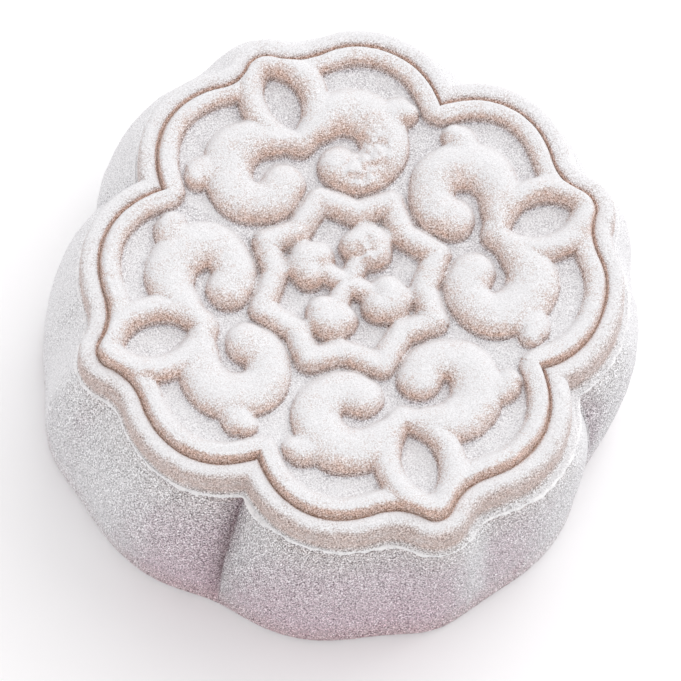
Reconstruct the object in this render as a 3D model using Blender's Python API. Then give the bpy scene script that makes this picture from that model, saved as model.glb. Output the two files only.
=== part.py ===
"""A pressed snow-skin mooncake, uncut, modelled as one solid of dough.

Frame: metres in Blender, +Z up. The origin is on the flat underside, below the
centre of the pressed pattern. The four pointed tips of the rim lie on +X, -X, +Y
and -Y, and the four cusps of the rim lie on the diagonals between them.

The rim outline is one eighth of a flower, mirrored and turned. Every ring of the
body is that outline moved in or out by a distance, at a height of its own.
The pattern on top is made of rounded ridges that are joined to the body.
"""
import math

import bmesh
import bpy
import numpy as np

MM = 0.001

# The rim outline: the crease between the two beads around the top
TIP_REACH = 28.4          # centre to a pointed tip
TIP_RADIUS = 1.9
LOBE_CENTRE = (6.2, 15.8)  # centre of the lobe beside the +Y tip
LOBE_HALF_WIDTH = 9.7
LOBE_HALF_HEIGHT = 9.8
LOBE_POWER = 2.25         # 2 would be an ellipse, more is squarer

# Heights above the underside
CREASE_HEIGHT = 26.0
FIELD_EDGE = 0.6          # the field's edge lies this far above the crease
BOWL_DEPTH = 2.3          # and its middle this far below its edge
BOWL_POWER = 1.2
FIELD_RADIUS = 26.6       # mean reach of the field
FLASH_DROP = 2.7          # mould line below the crease
FLASH_OUT = 2.8           # mould line outside the crease
FLASH_SHIFT = (0.2, -0.1)  # the mould line sits a little off centre
FLASH_SPREAD = (300.0, 32.0, 0.9)  # where it is wider: direction, half width, how much

# The side wall
BELLY_OUT = 3.5           # the wall's bulge beyond the mould line
BELLY_LEVEL = 0.63        # where it is widest, 0 at the mould line and 1 below
PETAL_FADE = 0.32         # how much of the flower is lost down the wall
BELLY_SHIFT = (0.0, 1.0)  # the belly leans out on the +Y side
BELLY_TWOFOLD = 0.5       # and is wider on one diagonal
BELLY_THREEFOLD = 0.35    # and is slightly three-cornered
BASE_OUT = 3.35           # the foot beyond the mould line
BASE_SHIFT = (-0.9, 0.5)
BASE_TWOFOLD = 0.4
FOOT_ROUND = 1.2

# The pattern: the lines of the ridges in the eighth beside the +Y tip, as x, y and half width
STAR = ((0.0, 10.0), (3.35, 7.25), (7.1, 7.1), (7.25, 3.35))
STAR_HALF_WIDTH = 1.3
OVAL_MIDDLE = 21.9
OVAL_HALF_LENGTH = 5.4
OVAL_HALF_WIDTH = 3.35
OVAL_RIDGE = 1.55
SCROLL = (
    (3.2, 12.8, 2.4), (4.6, 11.6, 2.45), (6.5, 11.6, 2.45), (8.4, 12.85, 2.65), (8.7, 15.3, 2.75),
    (7.5, 17.7, 2.8), (4.9, 18.5, 2.55), (2.2, 17.6, 1.75), (0.0, 16.8, 1.1),
)
TAIL = ((10.0, 16.6, 1.9), (11.4, 16.5, 1.85), (12.05, 16.1, 1.4))
HEART = ((2.3, 3.6, 2.0), (3.25, 3.75, 2.0), (3.75, 3.25, 2.0), (3.6, 2.3, 2.0))
STEM = ((-1.9, -1.9, 1.2), (0.0, 0.0, 1.2), (1.9, 1.9, 1.2))

# Crest of each kind of ridge above the field
SCROLL_RISE = 1.9
TAIL_RISE = 1.6
STAR_RISE = 1.7
OVAL_RISE = 1.8
HEART_RISE = 2.3
STEM_RISE = 2.2

# The soft dough was pushed aside in places: where, how far, and how wide around
NUDGES = (
    ((0.0, TIP_REACH), (-1.2, -1.1), 5.5),
    ((6.2, 25.6), (0.2, 0.4), 4.5),
    ((TIP_REACH, 0.0), (-0.7, 0.0), 7.0),
    ((25.6, -6.2), (0.9, -0.2), 5.0),
    ((20.0, -20.0), (0.15, -0.25), 6.0),
    ((22.0, 22.0), (0.4, 0.4), 4.0),
    ((0.0, 0.0), (-0.3, 0.15), 8.0),
)

AROUND = 96               # points around each ring of the body


def lobe_point(angle):
    """A point of the superellipse that makes one lobe of the rim."""
    c = math.cos(angle)
    s = math.sin(angle)
    x = LOBE_CENTRE[0] + LOBE_HALF_WIDTH * math.copysign(abs(c) ** (2 / LOBE_POWER), c)
    y = LOBE_CENTRE[1] + LOBE_HALF_HEIGHT * math.copysign(abs(s) ** (2 / LOBE_POWER), s)
    return x, y


def rim_outline():
    """The whole rim: a tip arc, an ogee arc and a lobe, mirrored and turned."""
    lobe_top = LOBE_CENTRE[1] + LOBE_HALF_HEIGHT
    rise = TIP_REACH - lobe_top
    both = (LOBE_CENTRE[0] ** 2 + rise ** 2) / (2 * rise)
    ogee = both - TIP_RADIUS
    tip_centre = (0.0, TIP_REACH - TIP_RADIUS)
    ogee_centre = (LOBE_CENTRE[0], lobe_top + ogee)
    joint = math.atan2(ogee_centre[1] - tip_centre[1], ogee_centre[0])
    eighth = []
    for k in range(7):
        a = math.pi / 2 + (joint - math.pi / 2) * k / 6
        eighth.append((tip_centre[0] + TIP_RADIUS * math.cos(a), tip_centre[1] + TIP_RADIUS * math.sin(a)))
    for k in range(1, 9):
        a = joint + math.pi + (math.pi / 2 - joint) * k / 8
        eighth.append((ogee_centre[0] + ogee * math.cos(a), ogee_centre[1] + ogee * math.sin(a)))
    step = math.pi / 100
    k = 1
    while True:
        x, y = lobe_point(math.pi / 2 - k * step)
        if x >= y:
            break
        if k % 3 == 0:
            eighth.append((x, y))
        k += 1
    middle = (x + y) / 2
    quarter = eighth + [(middle, middle)] + [(y, x) for x, y in reversed(eighth)]
    outline = []
    for turn in range(4):
        a = -turn * math.pi / 2
        c, s = math.cos(a), math.sin(a)
        outline += [(x * c - y * s, x * s + y * c) for x, y in quarter[:-1]]
    return np.array(outline)


def signed_distance(points, outline):
    """Distance from each point to the outline, negative inside it."""
    best = np.full(len(points), 1e9)
    inside = np.zeros(len(points), bool)
    for a, b in zip(outline, np.roll(outline, -1, axis=0)):
        along = b - a
        t = np.clip((points - a) @ along / (along @ along), 0, 1)
        gap = points - a - t[:, None] * along
        best = np.minimum(best, np.hypot(gap[:, 0], gap[:, 1]))
        if a[1] != b[1]:
            crosses = (a[1] > points[:, 1]) != (b[1] > points[:, 1])
            at = (b[0] - a[0]) * (points[:, 1] - a[1]) / (b[1] - a[1]) + a[0]
            inside ^= crosses & (points[:, 0] < at)
    return np.where(inside, -best, best)


def offset_radii(offset, outline, angles):
    """Radius at each angle of the outline moved out by offset."""
    rays = np.stack([np.cos(angles), np.sin(angles)], 1)
    low = np.full(len(angles), 5.0)
    high = np.full(len(angles), 45.0)
    for _ in range(26):
        middle = (low + high) / 2
        nearer = signed_distance(rays * middle[:, None], outline) < offset
        low = np.where(nearer, middle, low)
        high = np.where(nearer, high, middle)
    return (low + high) / 2


def softened(radii, passes):
    """Radii with their corners worn down, going around the ring."""
    for _ in range(passes):
        radii = (np.roll(radii, 1) + 2 * radii + np.roll(radii, -1)) / 4
    return radii


def field_height(x, y):
    """The shallow bowl that carries the pattern."""
    share = min(1.0, math.hypot(x, y) / FIELD_RADIUS)
    return CREASE_HEIGHT + FIELD_EDGE - BOWL_DEPTH * (1 - share ** BOWL_POWER)


def settle(mesh):
    """Moves the vertices near each nudge, less towards the underside."""
    for vert in mesh.verts:
        x, y, z = (value / MM for value in vert.co)
        for spot, move, reach in NUDGES:
            share = math.exp(-((x - spot[0]) ** 2 + (y - spot[1]) ** 2) / reach ** 2) * min(1.0, z / CREASE_HEIGHT)
            vert.co.x += move[0] * share * MM
            vert.co.y += move[1] * share * MM


def leaning(shift, angles):
    """How much a ring's radii change when it moves sideways by shift."""
    return shift[0] * np.cos(angles) + shift[1] * np.sin(angles)


def wall_ring(level, flash, angles):
    """Radii of the side wall, level 0 at the mould line and 1 at the underside."""
    mean = flash.mean()
    fade = PETAL_FADE * min(1.0, level / 0.5)
    upper = softened(flash, 1)
    lower = softened(flash, 5)
    radii = mean + ((1 - level) * upper + level * lower - mean) * (1 - fade)
    if level < BELLY_LEVEL:
        radii = radii + BELLY_OUT * math.sin(math.pi / 2 * level / BELLY_LEVEL)
    else:
        below = (level - BELLY_LEVEL) / (1 - BELLY_LEVEL)
        radii = radii + BASE_OUT + (BELLY_OUT - BASE_OUT) * math.cos(math.pi / 2 * below)
    swell = math.sin(math.pi * level)
    radii = radii + (1 - level) * leaning(FLASH_SHIFT, angles)
    radii = radii + swell * leaning(BELLY_SHIFT, angles)
    radii = radii + swell * (BELLY_TWOFOLD * np.sin(2 * angles) - BELLY_THREEFOLD * np.sin(3 * angles))
    return radii + level ** 2 * (leaning(BASE_SHIFT, angles) + BASE_TWOFOLD * np.sin(2 * angles))


def add_ring(mesh, radii, heights, angles):
    """One ring of vertices."""
    ring = []
    for radius, height, angle in zip(radii, heights, angles):
        place = (radius * math.cos(angle), radius * math.sin(angle), height)
        ring.append(mesh.verts.new([v * MM for v in place]))
    return ring


def make_body(name):
    """The body as a loft of rings from the underside to the middle of the field."""
    outline = rim_outline()
    angles = np.arange(AROUND) * 2 * math.pi / AROUND
    aside = np.abs((np.degrees(angles) - FLASH_SPREAD[0] + 180) % 360 - 180) / FLASH_SPREAD[1]
    spread = FLASH_SPREAD[2] * np.exp(-aside ** 2)
    flash = offset_radii(FLASH_OUT, outline, angles) + spread
    flash_height = CREASE_HEIGHT - FLASH_DROP
    mesh = bmesh.new()
    rings = []

    # underside, rounded foot and wall
    foot = wall_ring(1.0, flash, angles)
    for inward, height in ((1.0, 0.0), (0.3, 0.35), (0.0, 1.0)):
        rings.append(add_ring(mesh, foot - inward * FOOT_ROUND, [height] * AROUND, angles))
    for level in (0.85, 0.7, 0.55, 0.4, 0.25, 0.1, 0.02):
        height = flash_height * (1 - level)
        rings.append(add_ring(mesh, wall_ring(level, flash, angles), [height] * AROUND, angles))

    # mould line, cove, outer bead, crease and inner bead: distance outside the crease, height above it
    profile = (
        (FLASH_OUT, -FLASH_DROP),
        (2.25, -2.3),
        (2.1, -0.9),
        (1.95, 0.5),
        (1.4, 1.1),
        (0.4, 0.95),
        (0.0, 0.0),
        (-0.4, 1.5),
        (-1.15, 1.85),
        (-1.9, 1.65),
    )
    for outward, rise in profile:
        moved = max(0.0, (outward - 1.8) / (FLASH_OUT - 1.8))
        radii = offset_radii(outward, outline, angles) + min(1.0, moved) * (leaning(FLASH_SHIFT, angles) + spread)
        rings.append(add_ring(mesh, radii, [CREASE_HEIGHT + rise] * AROUND, angles))

    # the field inside the inner bead
    edge = softened(offset_radii(-2.4, outline, angles), 1)
    for share in (1.0, 0.8, 0.6, 0.35):
        heights = [field_height(r * share, 0) for r in edge]
        rings.append(add_ring(mesh, edge * share, heights, angles))

    for below, above in zip(rings, rings[1:]):
        for k in range(AROUND):
            after = (k + 1) % AROUND
            mesh.faces.new((below[k], below[after], above[after], above[k]))
    mesh.faces.new(list(reversed(rings[0])))
    middle = mesh.verts.new((0, 0, field_height(0, 0) * MM))
    for k in range(AROUND):
        mesh.faces.new((rings[-1][k], rings[-1][(k + 1) % AROUND], middle))
    settle(mesh)
    data = bpy.data.meshes.new(name)
    mesh.normal_update()
    mesh.to_mesh(data)
    mesh.free()
    return bpy.data.objects.new(name, data)


def smooth_run(points, step):
    """A smooth line through a few points, read about every step."""
    points = np.array(points, float)
    padded = np.vstack([2 * points[0] - points[1], points, 2 * points[-1] - points[-2]])
    run = []
    for before, start, end, after in zip(padded, padded[1:], padded[2:], padded[3:]):
        count = max(1, round(np.hypot(*(end - start)[:2]) / step))
        for t in np.arange(count) / count:
            run.append(0.5 * (2 * start + (end - before) * t
                              + (2 * before - 5 * start + 4 * end - after) * t ** 2
                              + (3 * start - before - 3 * end + after) * t ** 3))
    run.append(points[-1])
    return np.array(run)


def turned(run, quarter, mirrored=False):
    """One copy of a line, mirrored in the Y axis or not, turned by quarters."""
    copy = np.array(run, float)
    if mirrored:
        copy[:, 0] *= -1
    a = -quarter * math.pi / 2
    x, y = copy[:, 0].copy(), copy[:, 1].copy()
    copy[:, 0] = x * math.cos(a) - y * math.sin(a)
    copy[:, 1] = x * math.sin(a) + y * math.cos(a)
    return copy


def rounded_ends(run):
    """The run with two narrowing points beyond each of its ends."""
    for _ in range(2):
        x, y, width = run[0]
        away = math.atan2(y - run[1][1], x - run[1][0])
        extra = [(x + reach * width * math.cos(away), y + reach * width * math.sin(away), width * share)
                 for reach, share in ((0.92, 0.4), (0.6, 0.8))]
        run = np.vstack([extra, run])[::-1]
    return run


def make_ridge(name, run, rise, closed=False):
    """A rounded ridge along a run of points: a bevelled curve, laid on the field with its crest at rise."""
    path = run if closed else rounded_ends(run)
    curve = bpy.data.curves.new(name, "CURVE")
    curve.dimensions = "3D"
    curve.twist_mode = "Z_UP"
    curve.bevel_depth = MM
    curve.bevel_resolution = 2
    curve.use_fill_caps = not closed
    spline = curve.splines.new("POLY")
    spline.points.add(len(path) - 1)
    spline.use_cyclic_u = closed
    for point, (x, y, width) in zip(spline.points, path):
        point.co = (x * MM, y * MM, 0, 1)
        point.radius = width
    holder = bpy.data.objects.new(name, curve)
    bpy.context.scene.collection.objects.link(holder)
    bpy.context.view_layer.update()
    evaluated = holder.evaluated_get(bpy.context.evaluated_depsgraph_get())
    data = bpy.data.meshes.new_from_object(evaluated)
    bpy.data.objects.remove(holder)
    mesh = bmesh.new()
    mesh.from_mesh(data)
    bmesh.ops.remove_doubles(mesh, verts=mesh.verts, dist=0.00002)
    bmesh.ops.recalc_face_normals(mesh, faces=mesh.faces)
    for vert in mesh.verts:
        x, y = vert.co.x / MM, vert.co.y / MM
        width = run[np.argmin(np.hypot(run[:, 0] - x, run[:, 1] - y)), 2]
        vert.co.z = vert.co.z * rise / width + field_height(x, y) * MM
    settle(mesh)
    mesh.to_mesh(data)
    mesh.free()
    return bpy.data.objects.new(name, data)


def star_ring():
    """The eight-pointed star, four points on the axes and four on the diagonals."""
    corners = np.vstack([turned(STAR, quarter) for quarter in range(4)])
    return np.column_stack([corners, np.full(len(corners), STAR_HALF_WIDTH)])


def pointed_oval():
    """The oval on the +Y axis, two arcs that meet in points."""
    radius = (OVAL_HALF_LENGTH ** 2 + OVAL_HALF_WIDTH ** 2) / (2 * OVAL_HALF_WIDTH)
    sweep = math.asin(OVAL_HALF_LENGTH / radius)
    a = sweep - 2 * sweep * np.arange(7) / 7
    right = np.column_stack([OVAL_HALF_WIDTH - radius + radius * np.cos(a), OVAL_MIDDLE + radius * np.sin(a)])
    outline = np.vstack([right, np.column_stack([-right[:, 0], 2 * OVAL_MIDDLE - right[:, 1]])])
    return np.column_stack([outline, np.full(len(outline), OVAL_RIDGE)])


def dough_material():
    """Floured snow-skin dough."""
    material = bpy.data.materials.new("floured_dough")
    material.use_nodes = True
    shader = material.node_tree.nodes["Principled BSDF"]
    shader.inputs["Base Color"].default_value = (0.80, 0.73, 0.70, 1)
    shader.inputs["Roughness"].default_value = 0.9
    shader.inputs["Metallic"].default_value = 0.0
    material.diffuse_color = (0.80, 0.73, 0.70, 1)
    return material


def main():
    for item in list(bpy.data.objects):
        bpy.data.objects.remove(item, do_unlink=True)
    parts = bpy.data.collections.new("mooncake")
    cutters = bpy.data.collections.new("cutters")
    bpy.context.scene.collection.children.link(parts)
    bpy.context.scene.collection.children.link(cutters)

    body = make_body("mooncake")
    parts.objects.link(body)
    body.data.materials.append(dough_material())

    ridges = [make_ridge("star", star_ring(), STAR_RISE, closed=True)]
    for quarter in range(4):
        ridges.append(make_ridge(f"oval_{quarter}", turned(pointed_oval(), quarter), OVAL_RISE, closed=True))
        ridges.append(make_ridge(f"heart_{quarter}", turned(smooth_run(HEART, 0.8), quarter), HEART_RISE))
        for mirrored in (False, True):
            scroll = turned(smooth_run(SCROLL, 1.3), quarter, mirrored)
            ridges.append(make_ridge(f"scroll_{quarter}_{mirrored}", scroll, SCROLL_RISE))
            tail = turned(smooth_run(TAIL, 1.3), quarter, mirrored)
            ridges.append(make_ridge(f"tail_{quarter}_{mirrored}", tail, TAIL_RISE))
    for quarter in range(2):
        ridges.append(make_ridge(f"stem_{quarter}", turned(smooth_run(STEM, 2.7), quarter), STEM_RISE))
    for ridge in ridges:
        cutters.objects.link(ridge)
        ridge.hide_render = True
        ridge.display_type = "WIRE"

    join = body.modifiers.new("pattern", "BOOLEAN")
    join.operation = "UNION"
    join.operand_type = "COLLECTION"
    join.collection = cutters
    join.solver = "EXACT"
    join.use_self = True

    body.data.shade_smooth()
    body.data.set_sharp_from_angle(angle=math.radians(50))


main()
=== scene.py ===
import math

import bpy
import numpy as np
from mathutils import Matrix, Vector


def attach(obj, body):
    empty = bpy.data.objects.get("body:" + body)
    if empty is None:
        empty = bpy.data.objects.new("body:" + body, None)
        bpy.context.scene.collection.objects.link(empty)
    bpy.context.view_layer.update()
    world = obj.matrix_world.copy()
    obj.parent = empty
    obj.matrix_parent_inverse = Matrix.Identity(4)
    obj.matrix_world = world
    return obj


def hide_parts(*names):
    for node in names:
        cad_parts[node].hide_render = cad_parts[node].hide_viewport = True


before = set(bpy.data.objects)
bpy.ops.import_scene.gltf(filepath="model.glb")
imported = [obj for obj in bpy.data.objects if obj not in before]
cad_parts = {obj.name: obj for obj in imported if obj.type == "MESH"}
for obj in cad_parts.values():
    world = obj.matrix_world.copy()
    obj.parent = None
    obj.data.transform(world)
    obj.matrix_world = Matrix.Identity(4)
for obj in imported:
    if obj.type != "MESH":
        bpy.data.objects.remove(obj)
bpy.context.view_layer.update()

MM = 0.001

# ---------------------------------------------------------------- sizes

TIP_REACH = 28.4
TIP_RADIUS = 1.9
LOBE_CENTRE = (6.2, 15.8)
LOBE_HALF_WIDTH = 9.7
LOBE_HALF_HEIGHT = 9.8
LOBE_POWER = 2.25

CREASE_HEIGHT = 26.0
FIELD_EDGE = 0.6          # the field's edge lies this far above the crease
BOWL_DEPTH = 2.3          # and its middle this far below its edge
BOWL_POWER = 1.2
BEAD_RISE = 1.25          # inner bead above the field
OUTER_RISE = 1.1          # outer bead above the crease
BEAD_MIDDLE = 1.15        # crest to crease
BEAD_HALF_WIDTH = 1.2
BEAD_FULLNESS = 3.6
BEAD_STEEPNESS = 0.5
FLASH_DROP = 2.7
FLASH_OUT = 2.8
FLASH_SHIFT = (0.2, -0.1)
FLASH_SPREAD = (300.0, 32.0, 0.9)    # where the flash is wider: direction, half width, how much

BELLY_OUT = 3.5
BELLY_LEVEL = 0.63
PETAL_FADE = 0.32
BELLY_SHIFT = (0.0, 1.0)
BELLY_TWOFOLD = 0.5
BELLY_THREEFOLD = 0.35
BASE_OUT = 3.35
BASE_SHIFT = (-0.9, 0.5)
BASE_TWOFOLD = 0.4
FOOT_ROUND = 1.2
# The grooves that run down the wall from the rim's cusps: direction and depth
GROOVES = ((45.0, 0.5), (135.0, 0.7), (225.0, 1.3), (315.0, 0.8))
GROOVE_WIDTH = 2.0        # degrees
WALL_LEVELS = 29

# The burr at the mould's joint: its width, how ragged it is, and the tongue beside one cusp
BURR_WIDTH = 0.2
BURR_RAGGED = 0.13
BURR_TONGUE = (229.0, 2.5, 0.45)     # direction, half width in degrees, how much wider
BURR_DRIFT = 0.12                    # how far it wanders up and down
# its section: out from the mould line in widths, and up from it
BURR_SECTION = ((-0.15, 0.2), (0.25, 0.13), (0.8, 0.08), (1.0, 0.0), (0.7, -0.07), (-0.2, -0.2))

# The soft dough was pushed aside in places: where, how far, and how wide around
NUDGES = (
    ((0.0, TIP_REACH), (-1.2, -1.1), 5.5),
    ((6.2, 25.6), (0.2, 0.4), 4.5),
    ((TIP_REACH, 0.0), (-0.7, 0.0), 7.0),
    ((25.6, -6.2), (0.9, -0.2), 5.0),
    ((20.0, -20.0), (0.15, -0.25), 6.0),
    ((22.0, 22.0), (0.4, 0.4), 4.0),
    ((0.0, 0.0), (-0.3, 0.15), 8.0),
)

# Where the flour dried and cracked: places and reach
CRACKED = (((6.6, 13.2), 3.4), ((3.6, 3.4), 1.6))

FIELD_RINGS = 116         # rings of the field, each with 8 more points than the last

# The pattern's lines in the eighth beside the +Y tip: x, y and half width
STAR = ((0.0, 10.0), (3.35, 7.25), (7.1, 7.1), (7.25, 3.35))
STAR_HALF_WIDTH = 1.5
OVAL_MIDDLE = 21.9
OVAL_HALF_LENGTH = 5.4
OVAL_HALF_WIDTH = 3.35
OVAL_RIDGE = 1.55
SCROLL = (
    (3.2, 12.8, 2.4), (4.6, 11.6, 2.45), (6.5, 11.6, 2.45), (8.4, 12.85, 2.65), (8.7, 15.3, 2.75),
    (7.5, 17.7, 2.8), (4.9, 18.5, 2.55), (2.2, 17.6, 1.75), (0.0, 16.8, 1.1),
)
TAIL = ((10.0, 16.6, 1.9), (11.4, 16.5, 1.85), (12.05, 16.1, 1.4))
HEART = ((2.3, 3.7, 1.95), (3.2, 3.75, 2.2), (3.75, 3.2, 2.2), (3.7, 2.3, 1.95))
STEM = ((-2.2, -2.2, 0.9), (-1.3, -1.3, 1.3), (0.0, 0.0, 1.0), (1.3, 1.3, 1.3), (2.2, 2.2, 0.9))


# ---------------------------------------------------------------- lines

def smooth_run(points, step=0.15):
    """A smooth line through a few points, read about every step."""
    points = np.array(points, float)
    padded = np.vstack([2 * points[0] - points[1], points, 2 * points[-1] - points[-2]])
    run = []
    for before, start, end, after in zip(padded, padded[1:], padded[2:], padded[3:]):
        count = max(2, int(np.hypot(*(end - start)[:2]) / step))
        for t in np.arange(count) / count:
            run.append(0.5 * (2 * start + (end - before) * t
                              + (2 * before - 5 * start + 4 * end - after) * t ** 2
                              + (3 * start - before - 3 * end + after) * t ** 3))
    run.append(points[-1])
    return np.array(run)


def straight_run(points, step=0.15):
    """Straight stretches between points, read about every step."""
    run = []
    for start, end in zip(np.array(points, float), np.array(points[1:], float)):
        count = max(2, int(np.hypot(*(end - start)[:2]) / step))
        run += [start + (end - start) * t for t in np.arange(count) / count]
    run.append(np.array(points[-1], float))
    return np.array(run)


def turned(run, quarter, mirrored=False):
    """One copy of a line, mirrored in the Y axis or not, turned by quarters."""
    copy = np.array(run, float)
    if mirrored:
        copy[:, 0] *= -1
    a = -quarter * math.pi / 2
    x, y = copy[:, 0].copy(), copy[:, 1].copy()
    copy[:, 0] = x * math.cos(a) - y * math.sin(a)
    copy[:, 1] = x * math.sin(a) + y * math.cos(a)
    return copy


def all_round(run, mirrored=False):
    """The four turned copies of a line, with their mirror images if asked."""
    sides = (False, True) if mirrored else (False,)
    return [turned(run, quarter, side) for quarter in range(4) for side in sides]


def rim_crease():
    """The line between the two beads: a tip arc, an ogee arc and a lobe, mirrored and turned."""
    lobe_top = LOBE_CENTRE[1] + LOBE_HALF_HEIGHT
    rise = TIP_REACH - lobe_top
    ogee = (LOBE_CENTRE[0] ** 2 + rise ** 2) / (2 * rise) - TIP_RADIUS
    tip_y = TIP_REACH - TIP_RADIUS
    joint = math.atan2(lobe_top + ogee - tip_y, LOBE_CENTRE[0])
    a = np.linspace(math.pi / 2, joint, 12)
    tip = np.stack([TIP_RADIUS * np.cos(a), tip_y + TIP_RADIUS * np.sin(a)], 1)
    a = np.linspace(joint + math.pi, 1.5 * math.pi, 22)[1:]
    waist = np.stack([LOBE_CENTRE[0] + ogee * np.cos(a), lobe_top + ogee + ogee * np.sin(a)], 1)
    a = np.linspace(math.pi / 2, -0.6, 400)[1:]
    c, s = np.cos(a), np.sin(a)
    x = LOBE_CENTRE[0] + LOBE_HALF_WIDTH * np.sign(c) * np.abs(c) ** (2 / LOBE_POWER)
    y = LOBE_CENTRE[1] + LOBE_HALF_HEIGHT * np.sign(s) * np.abs(s) ** (2 / LOBE_POWER)
    last = int(np.argmax(x >= y))
    lobe = np.stack([x, y], 1)[2:last:5]
    corner = np.full((1, 2), (x[last] + y[last]) / 2)
    eighth = np.vstack([tip, waist, lobe])
    quarter = np.vstack([eighth, corner, eighth[::-1, ::-1]])
    return np.vstack([turned(quarter[:-1], k) for k in range(4)])


def pointed_oval():
    """The ridge line of one oval on the +Y axis: two arcs that meet in points."""
    radius = (OVAL_HALF_LENGTH ** 2 + OVAL_HALF_WIDTH ** 2) / (2 * OVAL_HALF_WIDTH)
    sweep = math.asin(OVAL_HALF_LENGTH / radius)
    a = np.linspace(sweep, -sweep, 60)
    right = np.stack([OVAL_HALF_WIDTH - radius + radius * np.cos(a), OVAL_MIDDLE + radius * np.sin(a)], 1)
    left = right[::-1] * (-1, 1)
    outline = np.vstack([right, left[1:]])
    return np.column_stack([outline, np.full(len(outline), OVAL_RIDGE)])


def star_ring():
    """The eight-pointed star's ridge line, closed."""
    corners = [point for quarter in range(4) for point in turned(STAR, quarter)]
    run = straight_run(corners + corners[:1])
    return np.column_stack([run, np.full(len(run), STAR_HALF_WIDTH)])


def line_object(name, runs):
    """Drawn lines as one object of edges; half_width is kept on every point."""
    points, edges, widths = [], [], []
    for run in runs:
        first = len(points)
        points += [(x * MM, y * MM, 0) for x, y in run[:, :2]]
        edges += [(first + k, first + k + 1) for k in range(len(run) - 1)]
        widths += list(run[:, 2] * MM)
    mesh = bpy.data.meshes.new(name)
    mesh.from_pydata(points, edges, [])
    kept = mesh.attributes.new("half_width", "FLOAT", "POINT")
    kept.data.foreach_set("value", widths)
    holder = bpy.data.objects.new(name, mesh)
    bpy.context.scene.collection.objects.link(holder)
    return holder


# ---------------------------------------------------------------- the blank

def signed_distance(points, outline):
    """Distance from each point to the outline, negative inside it."""
    best = np.full(len(points), 1e9)
    inside = np.zeros(len(points), bool)
    for a, b in zip(outline, np.roll(outline, -1, axis=0)):
        along = b - a
        t = np.clip((points - a) @ along / (along @ along), 0, 1)
        gap = points - a - t[:, None] * along
        best = np.minimum(best, np.hypot(gap[:, 0], gap[:, 1]))
        if a[1] != b[1]:
            crosses = (a[1] > points[:, 1]) != (b[1] > points[:, 1])
            at = (b[0] - a[0]) * (points[:, 1] - a[1]) / (b[1] - a[1]) + a[0]
            inside ^= crosses & (points[:, 0] < at)
    return np.where(inside, -best, best)


def distance_table(outline, angles, reaches):
    """Distance outside the outline along a ray at each angle, one row for every ray."""
    rays = np.stack([np.cos(angles), np.sin(angles)], 1)
    points = (rays[:, None, :] * reaches[None, :, None]).reshape(-1, 2)
    return signed_distance(points, outline).reshape(len(angles), len(reaches))


def offset_radii(offset, table, reaches):
    """Radius at each angle of the outline moved out by offset."""
    return np.array([np.interp(offset, row, reaches) for row in np.maximum.accumulate(table, axis=1)])


def softened(radii, degrees):
    """Radii with their corners worn down over so many degrees of the ring."""
    count = len(radii)
    away = np.minimum(np.arange(count), count - np.arange(count)) * 360 / count
    weights = np.exp(-0.5 * (away / degrees) ** 2)
    return np.real(np.fft.ifft(np.fft.fft(radii) * np.fft.fft(weights / weights.sum())))


def waver(angles, seed, waves):
    """A repeatable uneven line around the ring, about -1 to 1."""
    random = np.random.default_rng(seed)
    total = np.zeros(len(angles))
    for count in waves:
        total += np.sin(count * angles + random.uniform(0, 2 * math.pi)) * random.uniform(0.6, 1)
    return total / math.sqrt(len(waves))


def leaning(shift, angles):
    """How much a ring's radii change when it moves sideways by shift."""
    return shift[0] * np.cos(angles) + shift[1] * np.sin(angles)


def beside(angles, direction, width):
    """How far each angle is from a direction, in widths."""
    return np.abs((np.degrees(angles) - direction + 180) % 360 - 180) / width


def groove_depth(level, angles):
    """Depth of the wall's grooves, sharp at the bottom of each and shallower near the underside."""
    depth = np.zeros(len(angles))
    for direction, deep in GROOVES:
        depth = depth + deep * np.exp(-beside(angles, direction, GROOVE_WIDTH))
    return depth * (1 - level ** 2.5) * min(1.0, 0.4 + level / 0.15)


def wall_radii(level, flash, angles):
    """Radii of the side wall, level 0 at the mould line and 1 at the underside."""
    mean = flash.mean()
    fade = PETAL_FADE * min(1.0, level / 0.5)
    upper = softened(flash, 1.2)
    lower = softened(flash, 4.5)
    radii = mean + ((1 - level) * upper + level * lower - mean) * (1 - fade)
    if level < BELLY_LEVEL:
        radii = radii + BELLY_OUT * math.sin(math.pi / 2 * level / BELLY_LEVEL)
    else:
        below = (level - BELLY_LEVEL) / (1 - BELLY_LEVEL)
        radii = radii + BASE_OUT + (BELLY_OUT - BASE_OUT) * math.cos(math.pi / 2 * below)
    swell = math.sin(math.pi * level)
    radii = radii + (1 - level) * leaning(FLASH_SHIFT, angles)
    radii = radii + swell * leaning(BELLY_SHIFT, angles)
    radii = radii + swell * (BELLY_TWOFOLD * np.sin(2 * angles) - BELLY_THREEFOLD * np.sin(3 * angles))
    radii = radii - groove_depth(level, angles)
    return radii + level ** 2 * (leaning(BASE_SHIFT, angles) + BASE_TWOFOLD * np.sin(2 * angles))


def outer_bead(distance):
    """Height above the crease of the outer bead at a distance outside it."""
    share = abs(distance - BEAD_MIDDLE) / BEAD_HALF_WIDTH
    return OUTER_RISE * max(0.0, 1 - share ** BEAD_FULLNESS) ** BEAD_STEEPNESS


def field_level(share):
    """Height of the unpressed field at a share of the way from its middle to the crease."""
    level = CREASE_HEIGHT + FIELD_EDGE - BOWL_DEPTH * (1 - share ** BOWL_POWER)
    return level - FIELD_EDGE * max(0.0, (share - 0.975) / 0.025)


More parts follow.
